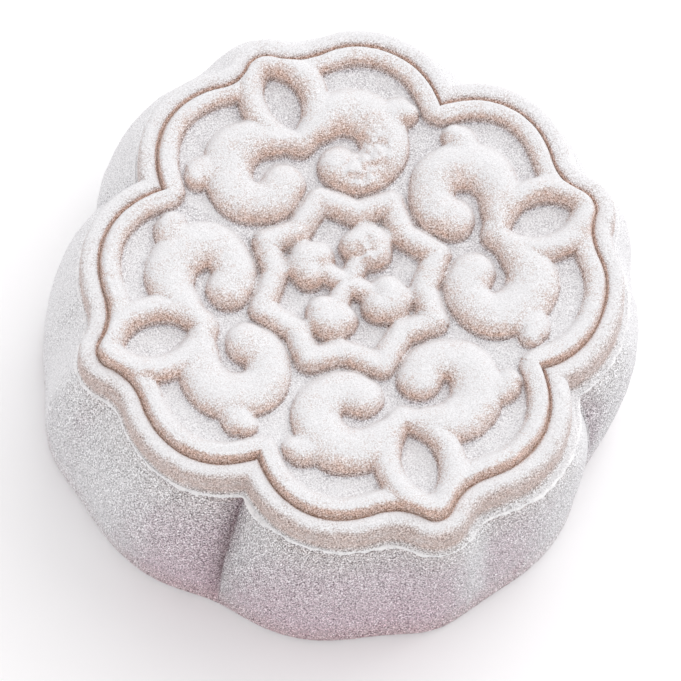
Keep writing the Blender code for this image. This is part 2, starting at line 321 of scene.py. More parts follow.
def rim_section():
    """The rim from the crease out to the mould line: distance outside the crease, height above it."""
    section = []
    for out in (0.12, 0.25, 0.4, 0.58, 0.78, 1.0, 1.2):
        section.append((out, outer_bead(out)))
    shoulder = ((1.2, 1.1), (1.7, 0.95), (2.02, 0.35), (2.1, -0.5), (2.12, -1.3), (2.2, -2.0), (2.4, -2.45))
    section += [tuple(point) for point in smooth_run(shoulder, 0.3)[1:]]
    return section


def make_blank():
    """The unpressed cake: rings from the middle of the field, over the rim and down to the underside."""
    crease = rim_crease()
    places = [(0.0, 0.0, field_level(0.0))]
    faces = []

    def angles_of(count):
        return np.arange(count) * 2 * math.pi / count

    def lay(radii, heights):
        """Adds one ring and returns the number of its first point."""
        first = len(places)
        angles = angles_of(len(radii))
        heights = np.broadcast_to(heights, len(radii))
        places.extend(zip(radii * np.cos(angles), radii * np.sin(angles), heights))
        return first

    def join_equal(inner, outer, count):
        for k in range(count):
            after = (k + 1) % count
            faces.append((inner + k, outer + k, outer + after, inner + after))

    # the field: each ring has eight more points than the one inside it
    around = 8 * FIELD_RINGS
    reaches = np.linspace(20.0, 36.0, 65)
    table = distance_table(crease, angles_of(around), reaches)
    crease_radii = offset_radii(0.0, table, reaches)
    inner = 0
    for ring in range(1, FIELD_RINGS + 1):
        share = ring / FIELD_RINGS
        radii = np.interp(angles_of(8 * ring), angles_of(around), crease_radii, period=2 * math.pi) * share
        outer = lay(radii, field_level(share))
        before = ring - 1
        for sector in range(8):
            for k in range(ring):
                a = inner + (sector * before + k) % max(1, 8 * before)
                b = outer + sector * ring + k
                faces.append((a, b, outer + (sector * ring + k + 1) % (8 * ring)))
                if k < before:
                    c = inner + (sector * before + k + 1) % (8 * before)
                    faces.append((a, outer + sector * ring + k + 1, c))
        inner = outer
    pressed = len(places) - around

    # the outer bead and the cove below it
    angles = angles_of(around)
    spread = FLASH_SPREAD[2] * np.exp(-beside(angles, FLASH_SPREAD[0], FLASH_SPREAD[1]) ** 2)
    flash = offset_radii(FLASH_OUT, table, reaches) + spread
    for out, rise in rim_section():
        moved = min(1.0, max(0.0, (out - 1.8) / (FLASH_OUT - 1.8)))
        radii = offset_radii(out, table, reaches)
        if out > 2.2:
            radii = radii + (softened(radii, 1.5) - radii) * (out - 2.2) / 0.6
        radii = radii + moved * (leaning(FLASH_SHIFT, angles) + spread)
        outer = lay(radii, CREASE_HEIGHT + rise)
        join_equal(inner, outer, around)
        inner = outer

    # the thin ragged burr that the mould's joint leaves
    base = softened(flash, 1.2) - 0.3 + leaning(FLASH_SHIFT, angles)
    ragged = BURR_WIDTH + BURR_RAGGED * waver(angles, 3, (5, 9, 14, 23))
    ragged = ragged + BURR_RAGGED * waver(angles, 4, (41, 67, 96, 131))
    direction, width, longer = BURR_TONGUE
    burr = np.clip(ragged, 0.05, 0.6) + longer * np.exp(-beside(angles, direction, width) ** 2)
    drift = BURR_DRIFT * waver(angles, 5, (4, 7, 11, 19))
    level = CREASE_HEIGHT - FLASH_DROP + drift
    edges = []
    for out, rise in BURR_SECTION:
        outer = lay(base + out * burr, level + rise)
        edges.append(outer)
        join_equal(inner, outer, around)
        inner = outer
    burr_start, burr_end = edges[1], edges[5]

    # the wall has half as many points around
    half = around // 2
    flash_half = flash[::2]
    angles = angles_of(half)
    top = CREASE_HEIGHT - FLASH_DROP
    levels = [0.035 + 0.9 * (k / (WALL_LEVELS - 1)) for k in range(WALL_LEVELS)]
    for number, level in enumerate(levels):
        # it starts a little inside the burr
        tucked = 0.4 * max(0.0, 1 - level / 0.12)
        outer = lay(wall_radii(level, flash_half, angles) - tucked, top * (1 - level))
        if number == 0:
            for k in range(half):
                after = (k + 1) % half
                a, b, c = inner + 2 * k, inner + 2 * k + 1, inner + 2 * after
                faces.append((a, outer + k, b))
                faces.append((b, outer + k, outer + after))
                faces.append((b, outer + after, c))
        else:
            join_equal(inner, outer, half)
        inner = outer

    # the rounded foot and the flat underside
    foot = wall_radii(1.0, flash_half, angles)
    for turn in (20, 40, 60, 80, 90):
        a = math.radians(turn)
        outer = lay(foot - FOOT_ROUND * (1 - math.cos(a)), FOOT_ROUND * (1 - math.sin(a)))
        join_equal(inner, outer, half)
        inner = outer
    for share in (0.97, 0.9, 0.6, 0.3):
        outer = lay((foot - FOOT_ROUND) * share, 0.0)
        join_equal(inner, outer, half)
        inner = outer
    pole = len(places)
    places.append((0.0, 0.0, 0.0))
    for k in range(half):
        faces.append((inner + k, pole, inner + (k + 1) % half))

    places = np.array(places)
    settled = places.copy()
    for spot, move, reach in NUDGES:
        gap = (places[:, 0] - spot[0]) ** 2 + (places[:, 1] - spot[1]) ** 2
        share = np.exp(-gap / reach ** 2) * np.minimum(1, places[:, 2] / CREASE_HEIGHT)
        settled[:, 0] += move[0] * share
        settled[:, 1] += move[1] * share

    mesh = bpy.data.meshes.new("mooncake_skin")
    mesh.from_pydata((settled * MM).tolist(), [], faces)
    kept = mesh.attributes.new("drawn_place", "FLOAT_VECTOR", "POINT")
    kept.data.foreach_set("vector", (places * (MM, MM, 0)).ravel())
    kept = mesh.attributes.new("pressed", "FLOAT", "POINT")
    kept.data.foreach_set("value", (np.arange(len(places)) < pressed).astype(np.float32))
    kept = mesh.attributes.new("burr", "FLOAT", "POINT")
    number = np.arange(len(places))
    kept.data.foreach_set("value", ((number >= burr_start) & (number < burr_end)).astype(np.float32))
    # how deep each place of the wall lies in a groove, less near the underside; the skin paints shade in the grooves
    # from it
    kept = mesh.attributes.new("valley", "FLOAT", "POINT")
    around_wall = np.arctan2(places[:, 1], places[:, 0])
    down = np.clip(1 - places[:, 2] / top, 0, 1)
    valley = np.zeros(len(places))
    deepest = max(deep for direction, deep in GROOVES)
    for direction, deep in GROOVES:
        valley = valley + deep ** 2 / deepest * np.exp(-beside(around_wall, direction, 1.4 * GROOVE_WIDTH))
    kept.data.foreach_set("value", (valley * (1 - down ** 3) * (number >= burr_end)).astype(np.float32))
    blank = bpy.data.objects.new("mooncake_skin", mesh)
    bpy.context.scene.collection.objects.link(blank)
    return blank


# ---------------------------------------------------------------- node trees

def add(tree, kind, links=None, **settings):
    """Adds a node; links gives each input, by name or number, a value or another node's output."""
    node = tree.nodes.new(kind)
    for name, value in settings.items():
        setattr(node, name, value)
    for name, value in (links or {}).items():
        if isinstance(value, bpy.types.NodeSocket):
            tree.links.new(value, node.inputs[name])
        else:
            node.inputs[name].default_value = value
    return node


def new_tree(name, inputs, outputs):
    """An empty geometry tree with named inputs: name, socket type and value."""
    tree = bpy.data.node_groups.new(name, "GeometryNodeTree")
    for label, socket, value in inputs:
        made = tree.interface.new_socket(label, in_out="INPUT", socket_type=socket)
        if value is not None:
            made.default_value = value
    for label, socket in outputs:
        tree.interface.new_socket(label, in_out="OUTPUT", socket_type=socket)
    return tree, tree.nodes.new("NodeGroupInput"), tree.nodes.new("NodeGroupOutput")


def ridge_tree():
    """Height of a rounded ridge at a place, by its distance from drawn lines, and the gap to its foot."""
    tree, given, result = new_tree(
        "ridge_along_lines",
        [("Lines", "NodeSocketObject", None), ("Place", "NodeSocketVector", None),
         ("Rise", "NodeSocketFloat", 0.0016), ("Fullness", "NodeSocketFloat", 2.5),
         ("Steepness", "NodeSocketFloat", 0.5)],
        [("Height", "NodeSocketFloat"), ("Gap", "NodeSocketFloat")])
    lines = add(tree, "GeometryNodeObjectInfo", {"Object": given.outputs["Lines"]})
    near = add(tree, "GeometryNodeProximity", {"Geometry": lines.outputs["Geometry"],
                                               "Sample Position": given.outputs["Place"]},
               target_element="EDGES")
    index = add(tree, "GeometryNodeSampleNearest", {"Geometry": lines.outputs["Geometry"],
                                                    "Sample Position": near.outputs["Position"]},
                domain="POINT")
    width = add(tree, "GeometryNodeInputNamedAttribute", {"Name": "half_width"}, data_type="FLOAT")
    half = add(tree, "GeometryNodeSampleIndex", {"Geometry": lines.outputs["Geometry"],
                                                 "Value": width.outputs["Attribute"],
                                                 "Index": index.outputs["Index"]},
               data_type="FLOAT", domain="POINT")
    share = add(tree, "ShaderNodeMath", {0: near.outputs["Distance"], 1: half.outputs["Value"]},
                operation="DIVIDE", use_clamp=True)
    gap = add(tree, "ShaderNodeMath", {0: near.outputs["Distance"], 1: half.outputs["Value"]},
              operation="SUBTRACT")
    fall = add(tree, "ShaderNodeMath", {0: share.outputs[0], 1: given.outputs["Fullness"]}, operation="POWER")
    left = add(tree, "ShaderNodeMath", {0: 1.0, 1: fall.outputs[0]}, operation="SUBTRACT", use_clamp=True)
    dome = add(tree, "ShaderNodeMath", {0: left.outputs[0], 1: given.outputs["Steepness"]}, operation="POWER")
    height = add(tree, "ShaderNodeMath", {0: dome.outputs[0], 1: given.outputs["Rise"]}, operation="MULTIPLY")
    tree.links.new(height.outputs[0], result.inputs["Height"])
    tree.links.new(gap.outputs[0], result.inputs["Gap"])
    return tree


def press_tree(families):
    """Presses every family of lines into the field, then roughens the dough."""
    inputs = [("Geometry", "NodeSocketGeometry", None), ("Rim crease", "NodeSocketObject", None),
              ("Waver", "NodeSocketFloat", 0.00035), ("Blend", "NodeSocketFloat", 0.00008),
              ("Bead rise", "NodeSocketFloat", BEAD_RISE * MM), ("Lumps", "NodeSocketFloat", 0.00024),
              ("Grain", "NodeSocketFloat", 0.00009), ("Skin", "NodeSocketMaterial", None)]
    for name, rise, fullness, steepness in families:
        inputs += [(name, "NodeSocketObject", None), (name + " rise", "NodeSocketFloat", rise * MM),
                   (name + " fullness", "NodeSocketFloat", fullness),
                   (name + " steepness", "NodeSocketFloat", steepness)]
    tree, given, result = new_tree("pressed_pattern", inputs, [("Geometry", "NodeSocketGeometry")])
    ridge = ridge_tree()

    # the lines are read at a place that wanders a little, so that no edge is perfect
    drawn = add(tree, "GeometryNodeInputNamedAttribute", {"Name": "drawn_place"}, data_type="FLOAT_VECTOR")
    drift = add(tree, "ShaderNodeTexNoise", {"Vector": drawn.outputs["Attribute"], "Scale": 260.0,
                                             "Detail": 3.0}, noise_dimensions="3D")
    centred = add(tree, "ShaderNodeVectorMath", {0: drift.outputs["Color"], 1: (0.5, 0.5, 0.5)},
                  operation="SUBTRACT")
    scaled = add(tree, "ShaderNodeVectorMath", {0: centred.outputs[0], "Scale": given.outputs["Waver"]},
                 operation="SCALE")
    wander = add(tree, "ShaderNodeVectorMath", {0: drawn.outputs["Attribute"], 1: scaled.outputs[0]},
                 operation="ADD")
    place = add(tree, "ShaderNodeVectorMath", {0: wander.outputs[0], 1: (1.0, 1.0, 0.0)}, operation="MULTIPLY")

    # the inner bead, from its distance to the crease
    crease = add(tree, "GeometryNodeObjectInfo", {"Object": given.outputs["Rim crease"]})
    near = add(tree, "GeometryNodeProximity", {"Geometry": crease.outputs["Geometry"],
                                               "Sample Position": drawn.outputs["Attribute"]},
               target_element="EDGES")
    away = add(tree, "ShaderNodeMath", {0: near.outputs["Distance"], 1: BEAD_MIDDLE * MM}, operation="SUBTRACT")
    size = add(tree, "ShaderNodeMath", {0: away.outputs[0]}, operation="ABSOLUTE")
    share = add(tree, "ShaderNodeMath", {0: size.outputs[0], 1: BEAD_HALF_WIDTH * MM},
                operation="DIVIDE", use_clamp=True)
    fall = add(tree, "ShaderNodeMath", {0: share.outputs[0], 1: BEAD_FULLNESS}, operation="POWER")
    left = add(tree, "ShaderNodeMath", {0: 1.0, 1: fall.outputs[0]}, operation="SUBTRACT", use_clamp=True)
    dome = add(tree, "ShaderNodeMath", {0: left.outputs[0], 1: BEAD_STEEPNESS}, operation="POWER")
    height = add(tree, "ShaderNodeMath", {0: dome.outputs[0], 1: given.outputs["Bead rise"]},
                 operation="MULTIPLY").outputs[0]

    # the gap to the foot of the nearest ridge, negative on the ridge
    gap = add(tree, "ShaderNodeMath", {0: size.outputs[0], 1: BEAD_HALF_WIDTH * MM},
              operation="SUBTRACT").outputs[0]

    # every other family joins the highest so far in a small fillet
    for name, _, _, _ in families:
        one = add(tree, "GeometryNodeGroup", node_tree=ridge)
        for label, source in (("Lines", name), ("Rise", name + " rise"), ("Fullness", name + " fullness"),
                              ("Steepness", name + " steepness")):
            tree.links.new(given.outputs[source], one.inputs[label])
        tree.links.new(place.outputs[0], one.inputs["Place"])
        height = add(tree, "ShaderNodeMath", {0: height, 1: one.outputs["Height"], 2: given.outputs["Blend"]},
                     operation="SMOOTH_MAX").outputs[0]
        gap = add(tree, "ShaderNodeMath", {0: gap, 1: one.outputs["Gap"]}, operation="MINIMUM").outputs[0]
    pressed = add(tree, "GeometryNodeInputNamedAttribute", {"Name": "pressed"}, data_type="FLOAT")
    height = add(tree, "ShaderNodeMath", {0: height, 1: pressed.outputs["Attribute"]}, operation="MULTIPLY")
    # flakes of dried flour: uneven plates with cracks between them
    warped = add(tree, "ShaderNodeTexNoise", {"Vector": place.outputs[0], "Scale": 900.0, "Detail": 2.0},
                 noise_dimensions="3D")
    warped = add(tree, "ShaderNodeVectorMath", {0: warped.outputs["Color"], 1: (0.0012, 0.0012, 0.0),
                                                2: place.outputs[0]}, operation="MULTIPLY_ADD")
    plates = add(tree, "ShaderNodeTexVoronoi", {"Vector": warped.outputs[0], "Scale": 620.0},
                 feature="DISTANCE_TO_EDGE")
    crack = add(tree, "ShaderNodeMapRange", {"Value": plates.outputs["Distance"], "From Min": 0.02, "From Max": 0.2,
                                             "To Min": -0.00034, "To Max": 0.00008})
    tilt = add(tree, "ShaderNodeTexNoise", {"Vector": place.outputs[0], "Scale": 800.0, "Detail": 1.0})
    tilt = add(tree, "ShaderNodeMath", {0: tilt.outputs[0], 1: 0.5}, operation="SUBTRACT")
    tilt = add(tree, "ShaderNodeMath", {0: tilt.outputs[0], 1: 0.0012, 2: crack.outputs[0]},
               operation="MULTIPLY_ADD")
    share = None
    for (x, y), reach in CRACKED:
        away = add(tree, "ShaderNodeVectorMath", {0: warped.outputs[0], 1: (x * MM, y * MM, 0.0)},
                   operation="DISTANCE")
        inside = add(tree, "ShaderNodeMapRange", {"Value": away.outputs["Value"], "From Min": 0.55 * reach * MM,
                                                  "From Max": 1.1 * reach * MM, "To Min": 1.0, "To Max": 0.0},
                     interpolation_type="SMOOTHSTEP").outputs[0]
        share = inside if share is None else add(tree, "ShaderNodeMath", {0: share, 1: inside},
                                                 operation="MAXIMUM").outputs[0]
    high = add(tree, "ShaderNodeMapRange", {"Value": height.outputs[0], "From Min": 0.0003, "From Max": 0.0013})
    share = add(tree, "ShaderNodeMath", {0: share, 1: high.outputs[0]}, operation="MULTIPLY")
    flakes = add(tree, "ShaderNodeMath", {0: tilt.outputs[0], 1: share.outputs[0], 2: height.outputs[0]},
                 operation="MULTIPLY_ADD")
    eased = add(tree, "GeometryNodeBlurAttribute", {"Value": flakes.outputs[0], "Iterations": 1},
                data_type="FLOAT")
    lift = add(tree, "ShaderNodeCombineXYZ", {"Z": eased.outputs["Value"]})
    raised = add(tree, "GeometryNodeSetPosition", {"Geometry": given.outputs["Geometry"],
                                                   "Offset": lift.outputs[0]})

    # how far each place is from the crease and from a ridge's foot
    position = add(tree, "GeometryNodeInputPosition")
    level = add(tree, "ShaderNodeSeparateXYZ", {0: position.outputs[0]})
    marked = raised
    gap = add(tree, "ShaderNodeMath", {0: gap, 1: pressed.outputs["Attribute"]}, operation="MULTIPLY")
    beyond = add(tree, "ShaderNodeMath", {0: pressed.outputs["Attribute"], 1: -0.001, 2: 0.001},
                 operation="MULTIPLY_ADD")
    gap = add(tree, "ShaderNodeMath", {0: gap.outputs[0], 1: beyond.outputs[0]}, operation="ADD")
    for name, source in (("from_crease", near.outputs["Distance"]), ("from_foot", gap.outputs[0])):
        marked = add(tree, "GeometryNodeStoreNamedAttribute", {"Geometry": marked.outputs[0], "Name": name,
                                                               "Value": source},
                     data_type="FLOAT", domain="POINT")
    # the floor of the field, where no ridge was pressed
    flat = add(tree, "ShaderNodeMapRange", {"Value": eased.outputs["Value"], "From Min": 0.0001,
                                            "From Max": 0.0007, "To Min": 1.0, "To Max": 0.0})
    flat = add(tree, "ShaderNodeMath", {0: flat.outputs[0], 1: pressed.outputs["Attribute"]},
               operation="MULTIPLY")
    marked = add(tree, "GeometryNodeStoreNamedAttribute", {"Geometry": marked.outputs[0], "Name": "floor",
                                                           "Value": flat.outputs[0]},
                 data_type="FLOAT", domain="POINT")
    # how hollow each place is: the level just around it, and farther around, less its own; the skin paints shade in
    # the hollows from these
    for name, passes in (("crease", 1), ("hollow", 60)):
        around = add(tree, "GeometryNodeBlurAttribute", {"Value": level.outputs["Z"], "Iterations": passes},
                     data_type="FLOAT")
        depth = add(tree, "ShaderNodeMath", {0: around.outputs["Value"], 1: level.outputs["Z"]},
                    operation="SUBTRACT")
        marked = add(tree, "GeometryNodeStoreNamedAttribute", {"Geometry": marked.outputs[0], "Name": name,
                                                               "Value": depth.outputs[0]},
                     data_type="FLOAT", domain="POINT")

    # lumps and grain push the surface along its normal
    normal = add(tree, "GeometryNodeInputNormal")
    total = None
    for scale, amount in ((150.0, "Lumps"), (900.0, "Grain"), (2600.0, "Grain")):
        noise = add(tree, "ShaderNodeTexNoise", {"Vector": position.outputs[0], "Scale": scale, "Detail": 2.0})
        even = add(tree, "ShaderNodeMath", {0: noise.outputs[0], 1: 0.5}, operation="SUBTRACT")
        step = add(tree, "ShaderNodeMath", {0: even.outputs[0], 1: given.outputs[amount]}, operation="MULTIPLY")
        total = step.outputs[0] if total is None else add(tree, "ShaderNodeMath", {0: total, 1: step.outputs[0]},
                                                          operation="ADD").outputs[0]
    # nothing moves on the flat underside, and the wall is coarser than the top
    above = add(tree, "ShaderNodeMapRange", {"Value": level.outputs["Z"], "From Min": 0.0001, "From Max": 0.002})
    coarse = add(tree, "ShaderNodeMapRange", {"Value": level.outputs["Z"], "From Min": 0.0225, "From Max": 0.0235,
                                              "To Min": 2.4, "To Max": 1.0})
    above = add(tree, "ShaderNodeMath", {0: above.outputs[0], 1: coarse.outputs[0]}, operation="MULTIPLY")
    push = add(tree, "ShaderNodeMath", {0: total, 1: above.outputs[0]}, operation="MULTIPLY")
    offset = add(tree, "ShaderNodeVectorMath", {0: normal.outputs[0], "Scale": push.outputs[0]}, operation="SCALE")
    rough = add(tree, "GeometryNodeSetPosition", {"Geometry": marked.outputs[0], "Offset": offset.outputs[0]})
    real = add(tree, "GeometryNodeRealizeInstances", {"Geometry": rough.outputs[0]})
    skin = add(tree, "GeometryNodeSetMaterial", {"Geometry": real.outputs[0], "Material": given.outputs["Skin"]})
    tree.links.new(skin.outputs[0], result.inputs["Geometry"])
    return tree


def grown(holder, tree, values):
    """Runs a tree on an object and leaves its result as a plain mesh."""
    modifier = holder.modifiers.new(tree.name, "NODES")
    modifier.node_group = tree
    for item in tree.interface.items_tree:
        if item.in_out == "INPUT" and item.name in values:
            modifier[item.identifier] = values[item.name]
    bpy.context.view_layer.update()
    evaluated = holder.evaluated_get(bpy.context.evaluated_depsgraph_get())
    result = bpy.data.meshes.new_from_object(evaluated)
    holder.modifiers.clear()
    holder.data = result
    result.name = holder.name
    return holder


# ---------------------------------------------------------------- finishes

def linear(code):
    """A colour given as sRGB hex, as the linear values that shaders use."""
    values = []
    for k in (0, 2, 4):
        v = int(code[k:k + 2], 16) / 255
        values.append(v / 12.92 if v <= 0.04045 else ((v + 0.055) / 1.055) ** 2.4)
    return (*values, 1.0)


def floured_dough():
    """Steamed rice dough under sifted flour: matt, white where flour lies, tan where it is thin, with light and
    shade partly painted into its colour.
    """
    material = bpy.data.materials.new("floured_snow_skin_dough")
    material.use_nodes = True
    tree = material.node_tree
    shader = tree.nodes["Principled BSDF"]
    shader.inputs["Roughness"].default_value = 0.92
    shader.inputs["IOR"].default_value = 1.4
    shader.inputs["Specular IOR Level"].default_value = 0.15

    place = add(tree, "ShaderNodeTexCoord").outputs["Object"]
    face = add(tree, "ShaderNodeNewGeometry").outputs["Normal"]
    height = add(tree, "ShaderNodeSeparateXYZ", {0: place}).outputs["Z"]
    crease = add(tree, "ShaderNodeAttribute", attribute_name="crease").outputs["Fac"]
    hollow = add(tree, "ShaderNodeAttribute", attribute_name="hollow").outputs["Fac"]
    groove = add(tree, "ShaderNodeAttribute", attribute_name="from_crease").outputs["Fac"]
    groove = add(tree, "ShaderNodeMapRange", {"Value": groove, "From Min": 0.00004, "From Max": 0.00034,
                                              "To Min": 1.0, "To Max": 0.0}, interpolation_type="SMOOTHSTEP")
    groove = groove.outputs[0]
    foot = add(tree, "ShaderNodeAttribute", attribute_name="from_foot").outputs["Fac"]
    foot = add(tree, "ShaderNodeMath", {0: foot}, operation="ABSOLUTE")
    foot = add(tree, "ShaderNodeMapRange", {"Value": foot.outputs[0], "From Min": 0.00004, "From Max": 0.00022,
                                            "To Min": 1.0, "To Max": 0.0}, interpolation_type="SMOOTHSTEP")
    pressed = add(tree, "ShaderNodeAttribute", attribute_name="pressed").outputs["Fac"]
    burr = add(tree, "ShaderNodeAttribute", attribute_name="burr").outputs["Fac"]
    floor = add(tree, "ShaderNodeAttribute", attribute_name="floor").outputs["Fac"]
    top = add(tree, "ShaderNodeMapRange", {"Value": height, "From Min": 0.0232, "From Max": 0.0242})

    # how much flour each slope of the top holds, by how far it faces up and back toward the key light: partly real
    # flour on upward faces, partly painted light that whitens the lit slopes and leaves those facing away tan
    lit_side_and_flour = add(tree, "ShaderNodeVectorMath", {0: face, 1: (0.31, 0.68, 0.66)}, operation="DOT_PRODUCT")
    flour_and_lit_cover = add(tree, "ShaderNodeMapRange", {"Value": lit_side_and_flour.outputs["Value"], "From Min": -0.45, "From Max": 0.7})
    flour_and_lit_cover = add(tree, "ShaderNodeMath", {0: flour_and_lit_cover.outputs[0], 1: 1.5}, operation="POWER")
    flour_and_lit_cover = add(tree, "ShaderNodeMath", {0: flour_and_lit_cover.outputs[0], 1: 0.75, 2: 0.36}, operation="MULTIPLY_ADD")
    drift = add(tree, "ShaderNodeTexNoise", {"Vector": place, "Scale": 420.0, "Detail": 2.0})
    drift = add(tree, "ShaderNodeMath", {0: drift.outputs[0], 1: 0.5}, operation="SUBTRACT")
    flour_and_lit_cover = add(tree, "ShaderNodeMath", {0: drift.outputs[0], 1: 0.6, 2: flour_and_lit_cover.outputs[0]}, operation="MULTIPLY_ADD")
    # painted shade: dark lines in the tightest creases
    crease_and_foot_shade = add(tree, "ShaderNodeMapRange", {"Value": crease, "From Min": 0.00006, "From Max": 0.0002})
    # painted shade: thin dark lines at the feet of ridges, faint at the feet that face the key light
    unlit_foot = add(tree, "ShaderNodeMapRange", {"Value": lit_side_and_flour.outputs["Value"], "From Min": 0.1, "From Max": 0.75,
                                                 "To Min": 0.75, "To Max": 0.1})
    foot = add(tree, "ShaderNodeMath", {0: foot.outputs[0], 1: unlit_foot.outputs[0]}, operation="MULTIPLY")
    crease_and_foot_shade = add(tree, "ShaderNodeMath", {0: crease_and_foot_shade.outputs[0], 1: 0.5, 2: foot.outputs[0]}, operation="MULTIPLY_ADD",
                use_clamp=True)
    apart = add(tree, "ShaderNodeMath", {0: groove, 1: -0.85, 2: 1.0}, operation="MULTIPLY_ADD")
    crease_and_foot_shade = add(tree, "ShaderNodeMath", {0: crease_and_foot_shade.outputs[0], 1: apart.outputs[0]}, operation="MULTIPLY")
    # less flour in the rim's crease, where it is thin, and painted shade as less flour in creases and broad hollows
    sunk = add(tree, "ShaderNodeMapRange", {"Value": hollow, "From Min": 0.0001, "From Max": 0.0011})
    flour_lost_and_shade = add(tree, "ShaderNodeMath", {0: groove, 1: 0.6}, operation="MULTIPLY")
    flour_lost_and_shade = add(tree, "ShaderNodeMath", {0: crease_and_foot_shade.outputs[0], 1: 0.55, 2: flour_lost_and_shade.outputs[0]}, operation="MULTIPLY_ADD")
    flour_lost_and_shade = add(tree, "ShaderNodeMath", {0: sunk.outputs[0], 1: 0.15, 2: flour_lost_and_shade.outputs[0]}, operation="MULTIPLY_ADD")
    above = add(tree, "ShaderNodeMath", {0: flour_and_lit_cover.outputs[0], 1: flour_lost_and_shade.outputs[0]}, operation="SUBTRACT")
    # painted shade: a little less flour on the floor between the ridges
    above = add(tree, "ShaderNodeMath", {0: floor, 1: -0.1, 2: above.outputs[0]}, operation="MULTIPLY_ADD")
    above = add(tree, "ShaderNodeMath", {0: above.outputs[0], 1: 0.34}, operation="MAXIMUM")

    # less flour on the wall's front, which faces away from the key light, most of all low down: painted shade, with
    # a rose tint of the dough
    front = add(tree, "ShaderNodeVectorMath", {0: face, 1: (-0.35, -0.94, 0.0)}, operation="DOT_PRODUCT")
    low = add(tree, "ShaderNodeMapRange", {"Value": height, "From Min": 0.0, "From Max": 0.024,
                                           "To Min": 1.0, "To Max": 0.55})
    shaded_front = add(tree, "ShaderNodeMapRange", {"Value": front.outputs["Value"], "From Min": 0.55, "From Max": 1.0},
                 interpolation_type="SMOOTHSTEP")
    shaded_front = add(tree, "ShaderNodeMath", {0: shaded_front.outputs[0], 1: low.outputs[0]}, operation="MULTIPLY")
    on_wall = add(tree, "ShaderNodeMath", {0: shaded_front.outputs[0], 1: -0.47, 2: 0.8}, operation="MULTIPLY_ADD")
    # painted light: more flour, so a lighter wall, where it faces the key light
    back = add(tree, "ShaderNodeVectorMath", {0: face, 1: (0.35, 0.85, 0.3)}, operation="DOT_PRODUCT")
    back = add(tree, "ShaderNodeMapRange", {"Value": back.outputs["Value"], "From Min": -0.25, "From Max": 0.25,
                                            "To Min": 0.0, "To Max": 0.85})
    on_wall = add(tree, "ShaderNodeMath", {0: on_wall.outputs[0], 1: back.outputs[0]}, operation="ADD")
    # painted shade: less flour in the wall's grooves
    valley = add(tree, "ShaderNodeAttribute", attribute_name="valley").outputs["Fac"]
    on_wall = add(tree, "ShaderNodeMath", {0: valley, 1: -0.4, 2: on_wall.outputs[0]}, operation="MULTIPLY_ADD")
    left = add(tree, "ShaderNodeMix", {"Factor": top.outputs[0], "A": on_wall.outputs[0], "B": above.outputs[0]},
               data_type="FLOAT")
    left = add(tree, "ShaderNodeMath", {0: left.outputs[0], 1: burr}, operation="ADD")

    # flour grains about 0.2 mm across, in clumps
    grain = add(tree, "ShaderNodeTexNoise", {"Vector": place, "Scale": 6400.0, "Detail": 1.0, "Roughness": 0.6})
    clump = add(tree, "ShaderNodeTexNoise", {"Vector": place, "Scale": 1500.0, "Detail": 2.0, "Roughness": 0.6})
    speck = add(tree, "ShaderNodeMath", {0: grain.outputs[0], 1: 2.5, 2: clump.outputs[0]}, operation="MULTIPLY_ADD")
    uneven = add(tree, "ShaderNodeMath", {0: speck.outputs[0], 1: 1.75}, operation="SUBTRACT")
    flour = add(tree, "ShaderNodeMath", {0: uneven.outputs[0], 1: 0.5, 2: left.outputs[0]},
                operation="MULTIPLY_ADD", use_clamp=True)

    # dough: lilac-grey on the wall, rose at its front, tan on the pattern; painted shade makes it darker in hollows,
    # creases and grooves
    # the front of the wall, away from the key light, rose: dough tint and painted shade
    side = add(tree, "ShaderNodeMix", {"Factor": shaded_front.outputs[0], "A": linear("b5b0b5"), "B": linear("c69eb0")},
               data_type="RGBA")
    # darker brownish just under the mould line, and darker rose towards the underside
    under = add(tree, "ShaderNodeMapRange", {"Value": height, "From Min": 0.0175, "From Max": 0.0232,
                                             "To Min": 0.0, "To Max": 0.75})
    side = add(tree, "ShaderNodeMix", {"Factor": under.outputs[0], "A": side.outputs["Result"],
                                       "B": linear("b5a8a0")}, data_type="RGBA")
    near_underside = add(tree, "ShaderNodeMapRange", {"Value": height, "From Min": 0.0005, "From Max": 0.006,
                                            "To Min": 0.85, "To Max": 0.0})
    side = add(tree, "ShaderNodeMix", {"Factor": near_underside.outputs[0], "A": side.outputs["Result"],
                                       "B": linear("b98c90")}, data_type="RGBA")
    # painted shade: darker grey-rose in the wall's grooves
    side = add(tree, "ShaderNodeMix", {"Factor": valley, "A": side.outputs["Result"],
                                       "B": linear("98848a")}, data_type="RGBA")
    tan = add(tree, "ShaderNodeMix", {"Factor": pressed, "A": linear("ceb2a6"), "B": linear("e0b299")},
              data_type="RGBA")
    dough = add(tree, "ShaderNodeMix", {"Factor": top.outputs[0], "A": side.outputs["Result"],
                                        "B": tan.outputs["Result"]}, data_type="RGBA")
    # painted shade: the floor between the ridges greyer
    floor_shade = add(tree, "ShaderNodeMix", {"Factor": floor, "A": dough.outputs["Result"],
                                       "B": linear("cec7cc")}, data_type="RGBA")
    # the rim's crease warm tan: thin flour there, and painted warm shade
    warm_crease_shade = add(tree, "ShaderNodeMix", {"Factor": groove, "A": floor_shade.outputs["Result"],
                                       "B": linear("d9a98c")}, data_type="RGBA")
    # painted shade: dark brown lines in creases and at ridge feet
    deep = add(tree, "ShaderNodeMix", {"Factor": crease_and_foot_shade.outputs[0], "A": warm_crease_shade.outputs["Result"],
                                       "B": linear("9d7a68")}, data_type="RGBA")
    shown = add(tree, "ShaderNodeMix", {"Factor": flour.outputs[0], "A": deep.outputs["Result"],
                                        "B": linear("e3e3e5")}, data_type="RGBA")
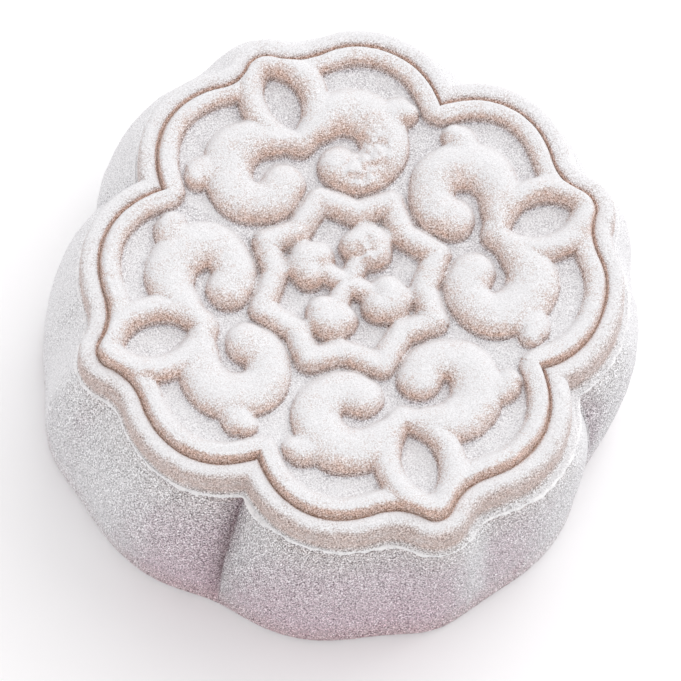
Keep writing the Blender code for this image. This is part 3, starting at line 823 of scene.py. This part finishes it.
    # grains shade one another where they lie loose, and hardly at all where they are packed
    loose = add(tree, "ShaderNodeMapRange", {"Value": left.outputs[0], "From Min": 0.3, "From Max": 1.1,
                                             "To Min": 3.0, "To Max": 0.6})
    loose_wall = add(tree, "ShaderNodeMapRange", {"Value": left.outputs[0], "From Min": 0.4, "From Max": 1.2,
                                                  "To Min": 4.4, "To Max": 1.6})
    loose = add(tree, "ShaderNodeMix", {"Factor": top.outputs[0], "A": loose_wall.outputs[0],
                                        "B": loose.outputs[0]}, data_type="FLOAT")
    shade = add(tree, "ShaderNodeMath", {0: grain.outputs[0], 1: 0.5}, operation="SUBTRACT")
    shade = add(tree, "ShaderNodeMath", {0: shade.outputs[0], 1: loose.outputs[0], 2: 1.0},
                operation="MULTIPLY_ADD")
    shaded = add(tree, "ShaderNodeVectorMath", {0: shown.outputs["Result"], "Scale": shade.outputs[0]},
                 operation="SCALE")
    patchy = add(tree, "ShaderNodeMapRange", {"Value": clump.outputs[0], "From Min": 0.4, "From Max": 0.6,
                                              "To Min": 0.3, "To Max": 1.0})
    ragged = add(tree, "ShaderNodeMath", {0: burr, 1: patchy.outputs[0]}, operation="MULTIPLY")
    shown = add(tree, "ShaderNodeMix", {"Factor": ragged.outputs[0], "A": shaded.outputs[0],
                                        "B": linear("fbfbfc")}, data_type="RGBA")
    tree.links.new(shown.outputs["Result"], shader.inputs["Base Color"])
    rough = add(tree, "ShaderNodeMapRange", {"Value": left.outputs[0], "From Min": 0.5, "From Max": 1.3,
                                             "To Min": 1.0, "To Max": 0.3})
    bump = add(tree, "ShaderNodeBump", {"Height": speck.outputs[0], "Distance": 0.0001,
                                        "Strength": rough.outputs[0]})
    tree.links.new(bump.outputs[0], shader.inputs["Normal"])
    return material


def table_finish():
    """Matt white laminate for the table top."""
    material = bpy.data.materials.new("matt_white_laminate")
    material.use_nodes = True
    shader = material.node_tree.nodes["Principled BSDF"]
    shader.inputs["Base Color"].default_value = linear("fbfbfc")
    shader.inputs["Roughness"].default_value = 0.85
    shader.inputs["Specular IOR Level"].default_value = 0.1
    return material


# ---------------------------------------------------------------- the studio

def camera_axes(azimuth, elevation, roll):
    """Unit vectors to the camera's right, up and back."""
    a, e = math.radians(azimuth), math.radians(elevation)
    back = Vector((math.sin(a) * math.cos(e), -math.cos(a) * math.cos(e), math.sin(e)))
    right = Vector((math.cos(a), math.sin(a), 0))
    up = back.cross(right)
    c, s = math.cos(math.radians(roll)), math.sin(math.radians(roll))
    return c * right + s * up, c * up - s * right, back


def stand_camera():
    """A long lens above the front of the cake, tilted a little."""
    right, up, back = camera_axes(-26.85, 69.15, 8.07)
    target = Vector((0, 0, 0.027))
    data = bpy.data.cameras.new("camera")
    data.lens = 200.4
    data.sensor_width = 36.0
    data.clip_start = 0.01
    data.clip_end = 10.0
    camera = bpy.data.objects.new("camera", data)
    bpy.context.scene.collection.objects.link(camera)
    # the cake's top sits a little above and right of the picture's middle
    sight = (-back - right * 0.002864 - up * 0.016676).normalized()
    side = sight.cross(up).normalized()
    rise = side.cross(sight)
    turn = Matrix((side, rise, -sight)).transposed().to_4x4()
    camera.matrix_world = Matrix.Translation(target + back * 0.405) @ turn
    bpy.context.scene.camera = camera


def hang_light(name, place, size, power, colour):
    """A square soft box that faces the cake."""
    data = bpy.data.lights.new(name, "AREA")
    data.shape = "SQUARE"
    data.size = size
    data.energy = power
    data.color = linear(colour)[:3]
    light = bpy.data.objects.new(name, data)
    light.location = place
    light.rotation_euler = (Vector((0, 0, 0.02)) - Vector(place)).to_track_quat("-Z", "Y").to_euler()
    bpy.context.scene.collection.objects.link(light)


def set_studio():
    world = bpy.data.worlds.new("studio")
    world.use_nodes = True
    sky = world.node_tree.nodes["Background"]
    sky.inputs["Color"].default_value = linear("fdfbfb")
    sky.inputs["Strength"].default_value = 0.92
    bpy.context.scene.world = world
    bpy.context.scene.view_settings.view_transform = "Standard"
    bpy.context.scene.view_settings.look = "None"
    hang_light("back_light", (0.5, 0.3, 0.6), 0.8, 3.4, "ffffff")

    table = bpy.data.meshes.new("table_top")
    table.from_pydata([(-3, -3, -0.0002), (3, -3, -0.0002), (3, 3, -0.0002), (-3, 3, -0.0002)], [], [(0, 1, 2, 3)])
    floor = bpy.data.objects.new("table_top", table)
    table.materials.append(table_finish())
    bpy.context.scene.collection.objects.link(floor)


# ---------------------------------------------------------------- the cake

def main():
    stand_camera()
    set_studio()

    scroll = smooth_run(SCROLL)
    # family, rise, fullness of the crest, steepness of the foot
    families = [
        ("Scrolls", 1.9, 2.2, 0.5), ("Tails", 1.6, 2.3, 0.5), ("Star", 1.7, 2.3, 0.5),
        ("Ovals", 1.8, 2.2, 0.5), ("Hearts", 2.3, 2.2, 0.5), ("Stems", 1.7, 2.2, 0.5),
    ]
    lines = {
        "Scrolls": line_object("scroll_lines", all_round(scroll, mirrored=True)),
        "Tails": line_object("tail_lines", all_round(smooth_run(TAIL), mirrored=True)),
        "Star": line_object("star_lines", [star_ring()]),
        "Ovals": line_object("oval_lines", all_round(pointed_oval())),
        "Hearts": line_object("heart_lines", all_round(smooth_run(HEART))),
        "Stems": line_object("stem_lines", [turned(smooth_run(STEM), k) for k in range(2)]),
    }
    crease = rim_crease()
    crease = np.column_stack([np.vstack([crease, crease[:1]]), np.ones(len(crease) + 1)])
    lines["Rim crease"] = line_object("rim_lines", [crease])

    cake = make_blank()
    skin = floured_dough()
    cake = grown(cake, press_tree(families), {**lines, "Skin": skin})
    cake.data.shade_smooth()
    for holder in lines.values():
        bpy.data.objects.remove(holder)

    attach(cake, "root")
    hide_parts("mooncake")


main()
